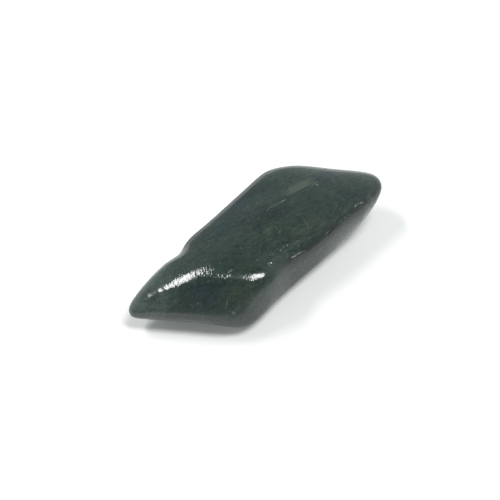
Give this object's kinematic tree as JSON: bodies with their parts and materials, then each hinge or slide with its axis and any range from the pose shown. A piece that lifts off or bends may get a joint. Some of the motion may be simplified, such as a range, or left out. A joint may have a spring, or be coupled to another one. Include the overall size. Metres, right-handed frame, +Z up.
{
  "type": "tumbled jade stone",
  "caption": "Tumbled nephrite jade pebble with a skewed, worn lozenge shape, dark polished green faces and pale flaws, lying on its flat worn base.",
  "frame": {"origin": "on the surface that the stone lies on, under the middle of its outline's box", "axes": "+X runs along the long diagonal of the lozenge, from the narrow tip to the blunter tip; +Y points to the notched back side; +Z is up"},
  "size_m": [0.0488, 0.024, 0.0099],
  "materials": {
    "jade": "tumble polished, dark grey-green and blue-green with pale flecks"
  },
  "bodies": {
    "root": {"jade_stone": "jade"}
  },
  "joints": []
}
